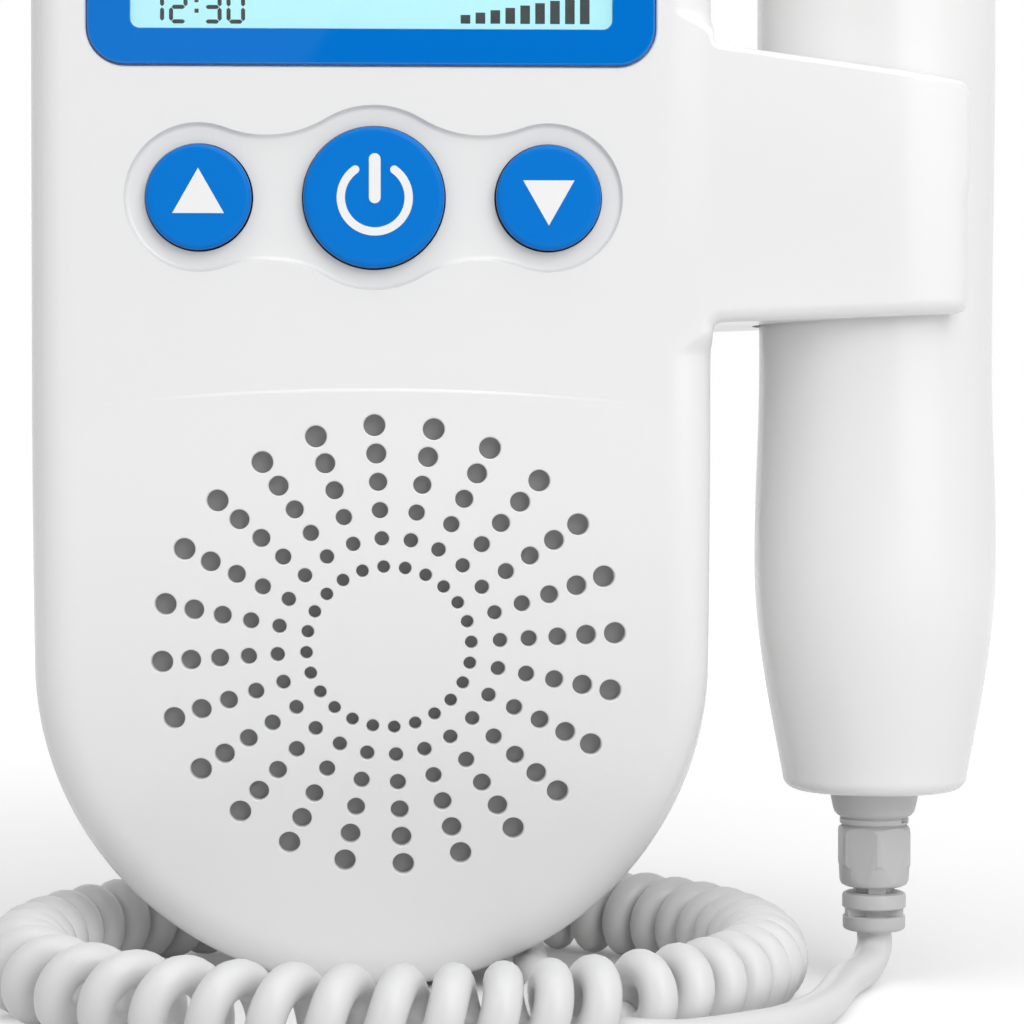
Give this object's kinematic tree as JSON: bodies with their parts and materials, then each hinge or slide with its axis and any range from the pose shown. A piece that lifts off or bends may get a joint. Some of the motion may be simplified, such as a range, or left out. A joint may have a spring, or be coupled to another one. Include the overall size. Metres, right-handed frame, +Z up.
{
  "type": "fetal doppler monitor",
  "caption": "Upright handheld monitor with display, three buttons, round speaker grille and side holder with a probe on a curly cord.",
  "frame": {"origin": "on the floor, under the middle of the housing and probe together, cord left out", "axes": "+Z up, the display faces -Y, the probe is on the +X side"},
  "size_m": [0.1113, 0.0854, 0.152],
  "materials": {
    "white_shell": "glossy moulded ABS",
    "blue_plastic": "glossy blue",
    "clear_window": "clear acrylic",
    "lcd_glass": "pale cyan liquid crystal panel",
    "light_guide": "milky light guide",
    "circuit_board": "green solder mask",
    "black_plastic": "black",
    "speaker_cloth": "woven dust cloth",
    "speaker_paper": "treated paper",
    "steel": "zinc plated",
    "plated_steel": "nickel plated",
    "cell_jacket": "plain jacket",
    "cord_jacket": "white PVC jacket, slightly glossy",
    "grey_rubber": "light grey moulded strain relief",
    "grey_plastic": "light grey",
    "lens_plastic": "satin contact face",
    "crystal": "ceramic"
  },
  "bodies": {
    "housing": {"front_shell": "white_shell", "back_shell": "white_shell", "lcd_bezel": "blue_plastic", "lcd_window": "clear_window", "lcd_panel": "lcd_glass", "lcd_backlight": "light_guide", "main_board": "circuit_board", "tact_switches": "black_plastic", "speaker_mesh": "speaker_cloth", "speaker_frame": "steel", "speaker_cone": "speaker_paper", "speaker_magnet": "steel", "battery_cell_left": "cell_jacket", "battery_cell_right": "cell_jacket", "battery_springs": "plated_steel", "battery_plates": "plated_steel", "case_screws": "steel", "board_screws": "steel", "earphone_socket": "black_plastic", "cord_grommet": "grey_rubber", "cord_tail": "cord_jacket", "cord_coil": "cord_jacket", "cord_lead": "cord_jacket"},
    "up_button": {"button_up": "blue_plastic"},
    "power_button": {"button_power": "blue_plastic"},
    "down_button": {"button_down": "blue_plastic"},
    "door": {"battery_door": "white_shell"},
    "probe": {"probe_handle": "white_shell", "probe_head": "white_shell", "probe_lens": "lens_plastic", "transducer_crystals": "crystal", "probe_board": "circuit_board", "cord_collar": "grey_plastic", "cord_nut": "grey_plastic", "cord_relief": "grey_rubber"}
  },
  "joints": [
    {"name": "up_press", "type": "slide", "parent": "housing", "child": "up_button", "axis": [0, 1, 0], "range_m": [0, 0.0008], "stiffness_N_per_m": 1500},
    {"name": "power_press", "type": "slide", "parent": "housing", "child": "power_button", "axis": [0, 1, 0], "range_m": [0, 0.0008], "stiffness_N_per_m": 1500},
    {"name": "down_press", "type": "slide", "parent": "housing", "child": "down_button", "axis": [0, 1, 0], "range_m": [0, 0.0008], "stiffness_N_per_m": 1500},
    {"name": "door_swing", "type": "hinge", "parent": "housing", "child": "door", "pos_m": [-0.01815, 0.0149, 0.0611], "axis": [-1, 0, 0], "range_deg": [0, 90]},
    {"name": "probe_lift", "type": "slide", "parent": "housing", "child": "probe", "axis": [0, 0, 1], "range_m": [0, 0.095]}
  ]
}
